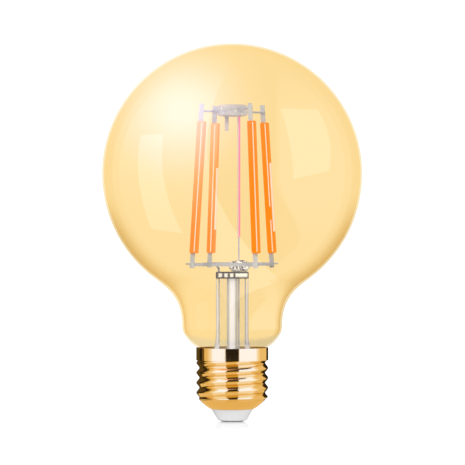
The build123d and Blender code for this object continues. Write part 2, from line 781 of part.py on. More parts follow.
with BuildPart() as inductor_core:
    with Locations(inductor_at):
        Cylinder(INDUCTOR_FLANGE_RADIUS, INDUCTOR_HEIGHT, align=STANDING)
        with Locations((0, 0, INDUCTOR_FLANGE)):
            Cylinder(INDUCTOR_FLANGE_RADIUS, winding_height, align=STANDING, mode=Mode.SUBTRACT)
            Cylinder(INDUCTOR_CORE_RADIUS, winding_height, align=STANDING)
save(inductor_core, "inductor_core")

with BuildPart() as inductor_winding:
    with Locations(inductor_at):
        with Locations((0, 0, INDUCTOR_FLANGE)):
            Cylinder(WINDING_RADIUS, winding_height, align=STANDING)
            Cylinder(INDUCTOR_CORE_RADIUS, winding_height, align=STANDING, mode=Mode.SUBTRACT)
save(inductor_winding, "inductor_winding")

with BuildPart() as bridge_rectifier:
    with Locations((RECTIFIER_X, board_back_y, PACKAGE_BOTTOM_Z)):
        Box(*RECTIFIER_SIZE, align=UPRIGHT)
save(bridge_rectifier, "bridge_rectifier")

with BuildPart() as driver_chip:
    with Locations((CHIP_X, board_back_y, PACKAGE_BOTTOM_Z)):
        Box(*CHIP_BODY, align=UPRIGHT)
        for side in (-1, 1):
            for step in range(4):
                leg_x = side * (CHIP_BODY[0] + CHIP_LEG[0]) / 2
                leg_z = CHIP_BODY[2] / 2 + (step - 1.5) * CHIP_LEG_PITCH - CHIP_LEG[2] / 2
                with Locations((leg_x, 0, leg_z)):
                    Box(*CHIP_LEG, align=UPRIGHT)
save(driver_chip, "driver_chip")

with BuildPart() as radio_board:
    with Locations((RADIO_X, board_back_y, RADIO_BOTTOM_Z)):
        Box(*RADIO_BOARD, align=UPRIGHT)
save(radio_board, "radio_board")

with BuildPart() as radio_shield:
    with Locations((RADIO_X, radio_back_y, RADIO_SHIELD_BOTTOM_Z)):
        Box(*RADIO_SHIELD, align=UPRIGHT)
    fillet(edges().filter_by(Axis.Y), 0.3)
save(radio_shield, "radio_shield")

with BuildPart() as contact_wire:
    with BuildSketch(Plane.XY.offset(RIVET_TOP_Z)):
        with Locations((0, contact_wire_y)):
            Circle(CONTACT_WIRE_RADIUS)
    extrude(amount=CONTACT_WIRE_TOP_Z - RIVET_TOP_Z)
save(contact_wire, "contact_wire")

with BuildPart() as fuse_resistor:
    with BuildSketch(Plane.XY.offset(FUSE_BOTTOM_Z)):
        with Locations((0, contact_wire_y)):
            Circle(FUSE_RADIUS)
    extrude(amount=FUSE_TOP_Z - FUSE_BOTTOM_Z)
    fillet(edges(), 0.35)
    add(contact_wire.part, mode=Mode.SUBTRACT)
save(fuse_resistor, "fuse_resistor")

with BuildPart() as shell_wire:
    add(
        wire(
            (
                (SHELL_WIRE_X, shell_wire_y, SHELL_WIRE_FOOT_Z),
                (SHELL_WIRE_X, shell_wire_y, SHELL_WIRE_TOP_Z),
                (SHELL_WIRE_END_X, shell_wire_y, SHELL_WIRE_TOP_Z),
            ),
            SHELL_WIRE_RADIUS,
            1.0,
        )
    )
save(shell_wire, "shell_wire")

with BuildPart() as solder_pads:
    board_pads = (
        (-LEAD_X, LEAD_FOOT_Z),
        (LEAD_X, LEAD_FOOT_Z),
        (0, CONTACT_WIRE_TOP_Z - PAD_HEIGHT),
        (SHELL_WIRE_X, SHELL_WIRE_FOOT_Z),
    )
    for x, z in board_pads:
        with Locations((x, BOARD_FRONT_Y - PAD_THICKNESS, z)):
            Box(PAD_WIDTH, PAD_THICKNESS, PAD_HEIGHT, align=UPRIGHT)
    with Locations((AERIAL_PAD_X, radio_back_y, AERIAL_FOOT_Z)):
        Box(PAD_WIDTH, PAD_THICKNESS, PAD_HEIGHT, align=UPRIGHT)
save(solder_pads, "solder_pads")
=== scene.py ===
"""Looks for a smart LED filament lamp with an amber glass globe and a gold screw cap.

Metres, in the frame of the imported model: the lamp stands on z = 0, its axis is Z and its front
is -Y. The globe, the filament coats and the glass bead are made here; every other piece is the
packed one with a new finish.
"""

import math

import bmesh
import bpy
from bpy.props import FloatProperty, FloatVectorProperty, IntProperty, PointerProperty
from mathutils import Matrix, Vector, noise
from mathutils.geometry import interpolate_bezier


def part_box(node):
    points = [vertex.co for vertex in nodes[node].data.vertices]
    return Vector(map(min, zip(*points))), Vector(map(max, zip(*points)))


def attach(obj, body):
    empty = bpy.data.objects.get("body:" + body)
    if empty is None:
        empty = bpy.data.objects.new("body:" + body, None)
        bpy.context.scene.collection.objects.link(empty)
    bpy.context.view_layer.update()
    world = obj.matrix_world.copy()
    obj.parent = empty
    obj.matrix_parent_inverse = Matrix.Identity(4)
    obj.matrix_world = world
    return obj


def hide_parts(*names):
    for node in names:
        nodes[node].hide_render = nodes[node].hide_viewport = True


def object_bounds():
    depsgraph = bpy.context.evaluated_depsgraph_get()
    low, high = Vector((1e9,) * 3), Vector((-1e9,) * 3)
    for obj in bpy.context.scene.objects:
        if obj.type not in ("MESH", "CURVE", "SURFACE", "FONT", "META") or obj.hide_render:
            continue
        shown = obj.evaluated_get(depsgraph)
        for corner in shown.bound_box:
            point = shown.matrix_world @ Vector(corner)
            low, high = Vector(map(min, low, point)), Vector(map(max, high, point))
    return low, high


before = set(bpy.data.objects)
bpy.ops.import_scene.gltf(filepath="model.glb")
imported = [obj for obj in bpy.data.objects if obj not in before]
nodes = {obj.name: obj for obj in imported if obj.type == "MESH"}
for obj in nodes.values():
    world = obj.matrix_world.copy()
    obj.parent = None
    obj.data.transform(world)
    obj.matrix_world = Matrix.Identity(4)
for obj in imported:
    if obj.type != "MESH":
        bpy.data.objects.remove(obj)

cad_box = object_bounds()

bl_info = {
    "name": "Filament lamp looks",
    "version": (1, 0, 0),
    "blender": (4, 5, 0),
    "location": "View3D > Sidebar > Lamp",
    "description": "Builds the finished surfaces of an amber LED filament lamp around its frame",
    "category": "Object",
}

MM = 0.001
WHITE = (1, 1, 1)
BALL_RADIUS = 47.5 * MM  # drawn radius of the globe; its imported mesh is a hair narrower
globe_low, globe_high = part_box("glass_globe")
globe_radius = (globe_high.x - globe_low.x) / 2
globe_centre = Vector((0, 0, cad_box[1].z - BALL_RADIUS))


# ----------------------------------------------------------------------------------------------
# Shader writing
# ----------------------------------------------------------------------------------------------


class Value:
    """A shader output that can be used in arithmetic; each operation adds a Math node."""

    def __init__(self, sheet, socket):
        self.sheet = sheet
        self.socket = socket

    def maths(self, operation, *values):
        made = self.sheet.add(
            "ShaderNodeMath", {"operation": operation}, dict(enumerate(values))
        )
        return self.sheet.value(made)

    def __add__(self, other):
        return self.maths("ADD", self, other)

    def __radd__(self, other):
        return self.maths("ADD", other, self)

    def __sub__(self, other):
        return self.maths("SUBTRACT", self, other)

    def __rsub__(self, other):
        return self.maths("SUBTRACT", other, self)

    def __mul__(self, other):
        return self.maths("MULTIPLY", self, other)

    def __rmul__(self, other):
        return self.maths("MULTIPLY", other, self)

    def __truediv__(self, other):
        return self.maths("DIVIDE", self, other)

    def __pow__(self, other):
        return self.maths("POWER", self, other)

    def __neg__(self):
        return self.maths("SUBTRACT", 0.0, self)

    def __abs__(self):
        return self.maths("ABSOLUTE", self)

    def most(self, other):
        return self.maths("MAXIMUM", self, other)

    def above(self, start, end):
        """0 below start, 1 past end, with a soft step between. start may be the larger."""
        made = self.sheet.add(
            "ShaderNodeMapRange",
            {"interpolation_type": "SMOOTHSTEP"},
            {"Value": self, "From Min": start, "From Max": end},
        )
        return self.sheet.value(made)


class Sheet:
    """One node tree being written."""

    def __init__(self, tree):
        self.tree = tree
        tree.nodes.clear()

    def add(self, kind, settings=None, sockets=None):
        """Adds a node: its settings first, then the values or links of its sockets."""
        made = self.tree.nodes.new(kind)
        for name, setting in (settings or {}).items():
            if name == "stops":
                ramp = made.color_ramp
                while len(ramp.elements) < len(setting):
                    ramp.elements.new(0.5)
                for element, (place, colour) in zip(ramp.elements, setting):
                    element.position = place
                    element.color = (*colour, 1)
            else:
                setattr(made, name, setting)
        for name, given in (sockets or {}).items():
            socket = made.inputs[name]
            if isinstance(given, Value):
                self.tree.links.new(given.socket, socket)
            elif isinstance(given, bpy.types.NodeSocket):
                self.tree.links.new(given, socket)
            elif isinstance(given, (tuple, list)) and len(given) == 3 and socket.type == "RGBA":
                socket.default_value = (*given, 1)
            else:
                socket.default_value = given
        return made

    def value(self, made, output=0):
        return Value(self, made.outputs[output])

    def blend(self, factor, first, second):
        """A colour between first and second."""
        made = self.add(
            "ShaderNodeMix", {"data_type": "RGBA"}, {0: factor, 6: first, 7: second}
        )
        return made.outputs[2]

    def mix(self, factor, first, second):
        """One shader mixed with another."""
        return self.add(
            "ShaderNodeMixShader", None, {0: factor, 1: first.outputs[0], 2: second.outputs[0]}
        )

    def body(self, sockets):
        """A solid surface with the sockets given."""
        return self.add("ShaderNodeBsdfPrincipled", None, sockets)

    def clear(self, colour):
        """A surface that light passes straight through, tinted."""
        return self.add("ShaderNodeBsdfTransparent", None, {"Color": colour})

    def glow(self, colour, strength=1.0):
        """A surface that gives its own light."""
        return self.add("ShaderNodeEmission", None, {"Color": colour, "Strength": strength})

    def place(self, kind="Object"):
        """The coordinates of the point being shaded, as a vector and as x, y and z."""
        where = self.add("ShaderNodeTexCoord").outputs[kind]
        split = self.add("ShaderNodeSeparateXYZ", None, {0: where})
        return where, *(self.value(split, axis) for axis in range(3))

    def facing(self):
        """0 where a surface is seen face on, 1 where it is seen edge on."""
        return self.value(self.add("ShaderNodeLayerWeight", None, {"Blend": 0.5}), "Facing")

    def behind(self):
        """1 on the back of a face."""
        return self.value(self.add("ShaderNodeNewGeometry"), "Backfacing")

    def ray(self, kind):
        """What the ray that arrives is or has passed."""
        return self.value(self.add("ShaderNodeLightPath"), kind)

    def grain(self, where, scale, detail=3.0, roughness=0.5, distortion=0.0):
        """Noise from 0 to 1."""
        made = self.add(
            "ShaderNodeTexNoise",
            None,
            {
                "Vector": where,
                "Scale": scale,
                "Detail": detail,
                "Roughness": roughness,
                "Distortion": distortion,
            },
        )
        return self.value(made)

    def stretched(self, where, scale):
        """The coordinates scaled differently along each axis."""
        made = self.add("ShaderNodeMapping", None, {"Vector": where, "Scale": scale})
        return made.outputs[0]

    def relief(self, height, distance, strength=1.0):
        made = self.add(
            "ShaderNodeBump", None, {"Height": height, "Distance": distance, "Strength": strength}
        )
        return made.outputs[0]

    def finish(self, shader, kind="ShaderNodeOutputMaterial"):
        self.add(kind, None, {"Surface": shader.outputs[0]})


def off_axis(x, y):
    """Distance from the lamp's axis."""
    return (x * x + y * y) ** 0.5


def waves(along, pitch):
    """A sine along a direction, from -1 to 1."""
    return along.maths("SINE", along * (2 * math.pi / pitch))


def toned(colour, *factors):
    """A colour times one factor, or times one for each channel."""
    return tuple(channel * factor for channel, factor in zip(colour, factors * 3))


def new_sheet(name):
    material = bpy.data.materials.new(name)
    material.use_nodes = True
    return material, Sheet(material.node_tree)


def dress(material, *names):
    """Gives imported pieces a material."""
    for name in names:
        packed = nodes[name].data
        packed.materials.clear()
        packed.materials.append(material)


# ----------------------------------------------------------------------------------------------
# Finishes
# ----------------------------------------------------------------------------------------------


def bare_metal(name, colour, rough, metallic=0.85, streak_scale=(900, 900, 60)):
    """Drawn or rolled plated metal: faint streaks along Z and a little tarnish."""
    material, sheet = new_sheet(name)
    where = sheet.place()[0]
    streaks = sheet.grain(sheet.stretched(where, streak_scale), 1.0, 2.0)
    tarnish = sheet.grain(where, 220.0, 4.0)
    shader = sheet.body(
        {
            "Base Color": sheet.blend(tarnish.above(0.42, 0.75), colour, toned(colour, 0.72)),
            "Metallic": metallic,
            "Roughness": rough + streaks * 0.16,
            "Normal": sheet.relief(streaks, 0.02 * MM, 0.25),
        }
    )
    sheet.finish(shader)
    return material


def moulded(name, colour, rough, speck=0.12, scale=700.0):
    """Moulded plastic, cement or resin: even colour with a fine pebbled surface."""
    material, sheet = new_sheet(name)
    where = sheet.place()[0]
    pebble = sheet.grain(where, scale, 3.0)
    cloud = sheet.grain(where, scale / 8, 2.0)
    shader = sheet.body(
        {
            "Base Color": sheet.blend(cloud.above(0.35, 0.7), colour, toned(colour, 1 - speck)),
            "Roughness": rough + pebble * 0.15,
            "Normal": sheet.relief(pebble, 0.03 * MM, 0.3),
        }
    )
    sheet.finish(shader)
    return material


def cap_gold(name, colour, rough):
    """Bright gold-coloured sheet, with painted shade making the thread's hollows warmer and darker,
    and a little smudged.
    """
    material, sheet = new_sheet(name)
    where, x, y, z = sheet.place()
    rolled = sheet.grain(sheet.stretched(where, (60, 60, 900)), 1.0, 3.0)
    smudge = sheet.grain(where, 90.0, 4.0, 0.6)
    below_collar = z.above(22.9 * MM, 22.2 * MM)
    # painted shade: the thread's hollows below the collar turn warmer and darker
    hollow_shade = off_axis(x, y).above(12.85 * MM, 12.1 * MM) * below_collar
    shade_and_smudge_colour = toned(colour, 0.97, 0.90, 0.72)
    shader = sheet.body(
        {
            # the smudges blend towards the same warmer, darker colour as the painted hollow shade
            "Base Color": sheet.blend(hollow_shade * 0.75 + smudge * 0.1, colour, shade_and_smudge_colour),
            "Metallic": 1.0,
            "Roughness": rough + rolled * 0.05 + smudge.above(0.5, 0.8) * 0.06,
            "Normal": sheet.relief(rolled, 0.02 * MM, 0.12),
        }
    )
    sheet.finish(shader)
    return material


def insulator_white(name, colour):
    """Moulded white insulator with faint flow marks round it."""
    material, sheet = new_sheet(name)
    flow = sheet.grain(sheet.stretched(sheet.place()[0], (300, 300, 900)), 1.0, 3.0)
    shader = sheet.body(
        {
            "Base Color": sheet.blend(flow * 0.3, colour, toned(colour, 0.88)),
            "Roughness": 0.32 + flow * 0.12,
            "Normal": sheet.relief(flow, 0.02 * MM, 0.2),
        }
    )
    sheet.finish(shader)
    return material


def thin_glass(name, tint, mirror_share):
    """Amber glass as the faces of a thin wall: each face takes the tint of half a wall.

    The tint is deeper towards the rim. Painted shade makes it darker and greyer at the edges of the
    neck and lower ball and on the lowest glass by the cap, and a little darker on the left of the
    neck, where the outside also mirrors less. Lamps and bounced light pass untinted, so what stands
    inside the globe keeps its own colours.
    """
    material, sheet = new_sheet(name)
    where, x, _, z = sheet.place()
    facing = sheet.facing()
    # painted shade: the left of the neck gets a darker tint and a weaker mirror
    left_neck_shade = z.above(62 * MM, 40 * MM) * x.above(8 * MM, -2 * MM)
    # painted shade: a darker, greyer tint at the edges of the neck and lower ball
    neck_edge_shade = facing.above(0.48, 0.9) * z.above(85 * MM, 65 * MM)
    # painted shade: a darker, greyer tint on the lowest glass from just above the cap down,
    # reaching higher at the edges
    lowest_glass_shade = (z - facing * (4 * MM)).above(29.7 * MM, 27.2 * MM)
    body = sheet.clear(tint)
    for share, colour in (
        (facing.above(0.55, 0.9), tuple(channel**1.06 for channel in tint)),
        (left_neck_shade, toned(tint, 0.966, 0.964, 0.955)),
        (neck_edge_shade, toned(tint, 0.93, 0.885, 0.80)),
        (lowest_glass_shade, toned(tint, 0.93, 0.945, 0.985)),
    ):
        body = sheet.mix(share, body, sheet.clear(colour))
    if mirror_share:
        ripple = sheet.relief(sheet.grain(where, 26.0, 2.0), 0.6 * MM, 0.08)
        mirror = sheet.add(
            "ShaderNodeBsdfGlossy",
            {"distribution": "GGX"},
            {"Color": WHITE, "Roughness": 0.02, "Normal": ripple},
        )
        outward = 1.0 - sheet.behind()
        # the mirror is weaker where the left of the neck is painted darker
        body = sheet.mix(outward * mirror_share * (1.0 - left_neck_shade * 0.75), body, mirror)
    unseen = sheet.ray("Is Shadow Ray").most(sheet.ray("Is Diffuse Ray"))
    sheet.finish(sheet.mix(unseen, body, sheet.clear(WHITE)))
    return material


def clear_stem(name, colour, edge_colour, body_amount, edge_amount):
    """Stem glass: nearly clear face on, with a painted glow, and a painted pale and then dark edge
    where its wall is seen edge on.
    """
    material, sheet = new_sheet(name)
    where, x, y, _ = sheet.place()
    seed = sheet.grain(where, 700.0, 2.0)
    facing = sheet.facing()
    outer_wall = off_axis(x, y).above(5.2 * MM, 5.5 * MM)
    # painted shade: the outer wall turns pale and then dark where it is seen edge on
    edge = facing.above(0.42, 0.54) * outer_wall
    tint = sheet.blend(facing.above(0.84, 0.95), colour, edge_colour)
    body = sheet.body(
        {
            "Base Color": tint,
            # painted glow: the stem gives light though it is no lamp
            "Emission Color": tint,
            "Emission Strength": 0.35,
            "Roughness": 0.08 + seed * 0.08,
            "Coat Weight": 0.3,
            "Normal": sheet.relief(seed, 0.03 * MM, 0.15),
        }
    )
    through = sheet.clear((0.985, 0.985, 0.98))
    sheet.finish(sheet.mix(edge * edge_amount + body_amount, through, body))
    return material


def lit_glass(name, colour, edge_colour, solid, glow):
    """Thick stem glass that looks milky, with a painted glow, and painted shade that darkens it
    where it turns away.
    """
    material, sheet = new_sheet(name)
    seed = sheet.grain(sheet.place()[0], 500.0, 3.0)
    # painted shade: darker where the surface turns away
    rim = sheet.facing().above(0.06, 0.25)
    tint = sheet.blend(rim, colour, edge_colour)
    body = sheet.body(
        {
            "Base Color": tint,
            "Roughness": 0.12 + seed * 0.1,
            # painted glow: the tube gives light though it is no lamp
            "Emission Color": tint,
            "Emission Strength": glow,
            "Normal": sheet.relief(seed, 0.03 * MM, 0.2),
        }
    )
    through = sheet.clear((0.98, 0.98, 0.97))
    sheet.finish(sheet.mix(rim * (1 - solid) + solid, through, body))
    return material


def press_glass(name, colour, line_colour, glow):
    """The pinched block: milky glass with a painted glow, and painted shade at its rims and in
    lines between its jaw marks.
    """
    material, sheet = new_sheet(name)
    where, x, _, z = sheet.place()
    low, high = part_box("stem_press")
    half = (high.z - low.z) / 2
    warp = (sheet.grain(where, 600.0, 2.0) - 0.5) * (0.4 * MM)
    # painted shade: dark along the rims and in the creases between the jaw marks
    rim = abs(z - (low.z + half) + warp).above(half * 0.3, half * 0.8)
    rim_and_groove_shade = rim.most(abs(x).above(5.2 * MM, 5.9 * MM))
    for place in (-5.4 * MM, -3.3 * MM, -1.2 * MM, 0.8 * MM):
        rim_and_groove_shade = rim_and_groove_shade.most(abs(x - place + warp).above(0.7 * MM, 0.2 * MM) * 0.9)
    tint = sheet.blend(rim_and_groove_shade, colour, line_colour)
    shader = sheet.body(
        {
            "Base Color": tint,
            "Roughness": 0.1 + rim * 0.1,
            # painted glow: the press gives light though it is no lamp
            "Emission Color": tint,
            "Emission Strength": glow,
            "Normal": sheet.relief(warp, 0.2, 0.3),
        }
    )
    sheet.finish(shader)
    return material


def bead_glass(name, colour, line_colour, glow):
    """A lump of remelted glass, clear white, with a painted glow; its black swirls and dark rim are
    painted shade standing in for how it refracts.
    """
    material, sheet = new_sheet(name)
    swirl = sheet.grain(sheet.place()[0], 330.0, 3.0, 0.55, 2.2)
    # painted shade: black swirls standing in for refraction
    line = abs(swirl - 0.5).above(0.05, 0.02)
    # painted shade: a dark rim where the bead is seen edge on
    rim = sheet.facing().above(0.62, 0.95) * 0.8
    tint = sheet.blend(line.most(rim), colour, line_colour)
    body = sheet.body(
        {
            "Base Color": tint,
            "Roughness": 0.06 + swirl * 0.05,
            # painted glow: the bead gives light though it is no lamp
            "Emission Color": tint,
            "Emission Strength": glow,
            "Normal": sheet.relief(swirl, 0.4 * MM, 0.4),
        }
    )
    sheet.finish(sheet.mix(0.95, sheet.clear((0.98, 0.97, 0.95)), body))
    return material


def hub_glass(name, colour, bubble_highlight_colour):
    """The top button: smoky pressed glass with a painted glow, and small trapped bubbles painted as
    bright highlight spots.
    """
    material, sheet = new_sheet(name)
    where = sheet.place()[0]
    cells = sheet.add("ShaderNodeTexVoronoi", None, {"Vector": where, "Scale": 420.0})
    # painted highlights: the trapped bubbles are painted as bright spots
    bubble_highlights = sheet.value(cells, "Distance").above(0.22, 0.12)
    cloud = sheet.grain(where, 260.0, 3.0)
    smoke = sheet.blend(cloud.above(0.4, 0.65), colour, toned(colour, 0.76))
    tint = sheet.blend(bubble_highlights, smoke, bubble_highlight_colour)
    body = sheet.body(
        {
            "Base Color": tint,
            "Roughness": 0.15 + cloud * 0.1,
            # painted glow: the hub gives light though it is no lamp
            "Emission Color": tint,
            "Emission Strength": 0.25,
            "Normal": sheet.relief(cloud, 0.2 * MM),
        }
    )
    through = sheet.clear((0.96, 0.96, 0.96))
    sheet.finish(sheet.mix(sheet.facing() * 0.3 + 0.62, through, body))
    return material


def filament_coat(name, colour, haze_highlight_colour, edge_colour, line_colour, strength, rows):
    """Lit phosphor coat, in the filament's own coordinates.

    rows are bright rows: place across, lower and upper end, in millimetres. Those on the coat's
    flat front are rows of dice seen through it; those past it lie on its side and are painted
    highlights.
    """
    material, sheet = new_sheet(name)
    where, x, y, z = sheet.place()
    half_row = bpy.context.scene.lamp_filaments.line_width / 2
    soft = 0.06 * MM
    bright = None
    for across, start, end in rows:
        if across < 1.2:
            row = abs(x - across * MM).above(half_row + soft, half_row - soft)
        else:
            # past the flat front: a painted highlight along the coat's side
            row = x.above(1.1 * MM, 1.2 * MM) * abs(y + 0.4 * MM).above(0.8 * MM, 0.7 * MM)
        row = row * z.above(start * MM, (start + 0.2) * MM) * z.above(end * MM, (end - 0.2) * MM)
        bright = row if bright is None else bright.most(row)
    dice = (waves(z, 0.62 * MM) + 1.0) / 2
    side = abs(x).above(1.0 * MM, 1.5 * MM)
    cloud = sheet.grain(sheet.stretched(where, (900, 900, 260)), 1.0, 3.0)
    # painted highlight: paler towards the coat's upper end, standing in for haze mirrored on the
    # globe
    tint = sheet.blend(z.above(2 * MM, 46 * MM), colour, haze_highlight_colour)
    tint = sheet.blend(side * (dice * 0.7 + 0.3), tint, edge_colour)
    tint = sheet.blend(cloud.above(0.45, 0.8) * 0.25, tint, edge_colour)
    tint = sheet.blend(bright, tint, line_colour)
    shader = sheet.body(
        {
            "Base Color": sheet.blend(bright, (0.06, 0.015, 0.002), (0.12, 0.10, 0.08)),
            "Roughness": 0.45 + cloud * 0.15,
            "Specular IOR Level": 0.05,
            "Emission Color": tint,
            "Emission Strength": strength,
            "Normal": sheet.relief(cloud, 0.05 * MM, 0.3),
        }
    )
    sheet.finish(shader)
    return material


def sleeve_pink(name, colour, left_side_colour):
    """Pink woven sleeving with a painted glow, grey down its left side."""
    material, sheet = new_sheet(name)
    where, x, _, _ = sheet.place()
    low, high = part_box("support_sleeve")
    middle = (low.x + high.x) / 2
    weave = sheet.grain(sheet.stretched(where, (2600, 2600, 700)), 1.0, 2.0)
    # grey on the left of the middle
    stripe = x.above(middle - 0.05 * MM, middle - 0.2 * MM)
    tint = sheet.blend(stripe, colour, left_side_colour)
    shader = sheet.body(
        {
            "Base Color": tint,
            "Roughness": 0.5 + weave * 0.2,
            # painted glow: the sleeve gives light though it is no lamp
            "Emission Color": tint,
            "Emission Strength": 0.25,
            "Normal": sheet.relief(weave, 0.03 * MM, 0.3),
        }
    )
    sheet.finish(shader)
    return material


def circuit_board(name, colour, copper):
    """Green resist over copper tracks."""
    material, sheet = new_sheet(name)
    bricks = sheet.add(
        "ShaderNodeTexBrick",
        {"offset": 0.35},
        {
            "Vector": sheet.place()[0],
            "Scale": 260.0,
            "Mortar Size": 0.03,
            "Color1": (0, 0, 0),
            "Color2": (0, 0, 0),
            "Mortar": WHITE,
        },
    )
    tracks = sheet.value(bricks, "Fac")
    shader = sheet.body(
        {
            "Base Color": sheet.blend(tracks * 0.5, colour, copper),
            "Roughness": 0.35 + tracks * 0.15,
            "Normal": sheet.relief(tracks, 0.03 * MM, 0.4),
        }
    )
    sheet.finish(shader)
    return material


def enamelled_wire(name, colour):
    """Close turns of enamelled copper wire, with painted shade darkening the creases between the
    turns.
    """
    material, sheet = new_sheet(name)
    turns = waves(sheet.place()[3], 0.4 * MM)
    shader = sheet.body(
        {
            # painted shade: darker in the grooves between the turns
            "Base Color": sheet.blend(turns.above(-0.9, 0.2), toned(colour, 0.4), colour),
            "Metallic": 0.8,
            "Roughness": 0.3 + turns * 0.05,
            "Normal": sheet.relief(turns, 0.12 * MM, 0.8),
        }
    )
    sheet.finish(shader)
    return material


# ----------------------------------------------------------------------------------------------
# Mesh making
# ----------------------------------------------------------------------------------------------


def finished_mesh(name, work):
    """Turns the worked faces outward and returns them as a mesh."""
    bmesh.ops.recalc_face_normals(work, faces=work.faces)
    mesh = bpy.data.meshes.new(name)
    work.to_mesh(mesh)
    work.free()
    return mesh


def new_piece(name, mesh, materials, replaced):
    """Puts a mesh in the scene as a piece of the lamp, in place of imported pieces."""
    piece = bpy.data.objects.new(name, mesh)
    bpy.context.scene.collection.objects.link(piece)
    for material in materials:
        mesh.materials.append(material)
    for face in mesh.polygons:
        face.use_smooth = True
    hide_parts(*replaced)
    return piece


def spun(name, outline, segments, material_from=lambda row: 0):
    """A surface of revolution from an outline of (radius, height); poles have radius 0."""
    rings = []
    work = bmesh.new()
    for radius, height in outline:
        if radius < 1e-9:
            rings.append([work.verts.new((0, 0, height))])
            continue
        angles = [2 * math.pi * step / segments for step in range(segments)]
        rings.append(
            [
                work.verts.new((radius * math.cos(angle), radius * math.sin(angle), height))
                for angle in angles
            ]
        )
    for row, (first, second) in enumerate(zip(rings, rings[1:])):
        for step in range(segments):
            after = (step + 1) % segments
            corners = [first[step % len(first)], second[step % len(second)]]
            if len(second) > 1:
                corners.append(second[after])
            if len(first) > 1:
                corners.append(first[after])
            face = work.faces.new(corners)
            face.material_index = material_from(row)
    return finished_mesh(name, work)


# ----------------------------------------------------------------------------------------------
# Settings
# ----------------------------------------------------------------------------------------------


class GlobeSettings(bpy.types.PropertyGroup):
    wall: FloatProperty(
        name="Wall", description="Thickness of the blown glass", default=0.7 * MM, unit="LENGTH"
    )
    segments: IntProperty(name="Segments", description="Divisions round the globe", default=144)
    tint: FloatVectorProperty(
        name="Tint",
        description="What one face of the wall lets through",
        subtype="COLOR",
        default=(0.9975, 0.923, 0.753),
    )
    mirror: FloatProperty(
        name="Mirror", description="Share of light that the outside mirrors", default=0.18
    )


class CapSettings(bpy.types.PropertyGroup):
    gold: FloatVectorProperty(
        name="Gold",
        description="Colour of the bright cap metal",
        subtype="COLOR",
        default=(0.93, 0.74, 0.46),
    )
    roughness: FloatProperty(
        name="Roughness", description="How soft the cap's reflections are", default=0.07
    )
    insulator: FloatVectorProperty(
        name="Insulator",
        description="Colour of the moulded insulator",
        subtype="COLOR",
        default=(0.80, 0.80, 0.80),
    )


class FilamentSettings(bpy.types.PropertyGroup):
    phosphor: FloatVectorProperty(
        name="Phosphor",
        description="Light of the coat",
        subtype="COLOR",
        default=(0.90, 0.275, 0.016),
    )
    # painted highlight: the paler upper end of the two left filaments stands in for haze mirrored
    # on the globe
    pale: FloatVectorProperty(
        name="Pale top",
        description="Light of the coat at the upper end of the two left filaments",
        subtype="COLOR",
        default=(0.90, 0.50, 0.19),
    )
    line: FloatVectorProperty(
        name="Line",
        description="Light of the dice rows",
        subtype="COLOR",
        default=(0.86, 0.74, 0.78),
    )
    line_width: FloatProperty(
        name="Line width", description="Width of a row of dice", default=0.38 * MM, unit="LENGTH"
    )
    strength: FloatProperty(name="Strength", description="Brightness of the coat", default=1.3)


class StageSettings(bpy.types.PropertyGroup):
    distance: FloatProperty(
        name="Distance",
        description="From the camera to the lamp's axis",
        default=1.1,
        unit="LENGTH",
    )
    width: FloatProperty(
        name="Width", description="Width seen at the lamp's axis", default=0.1699, unit="LENGTH"
    )
    height: FloatProperty(
        name="Height", description="Height of the camera and its aim", default=0.069, unit="LENGTH"
    )
    backdrop: FloatProperty(
        name="Backdrop", description="Brightness of the backdrop as the camera sees it", default=1.2
    )


# ----------------------------------------------------------------------------------------------
# Operators
# ----------------------------------------------------------------------------------------------


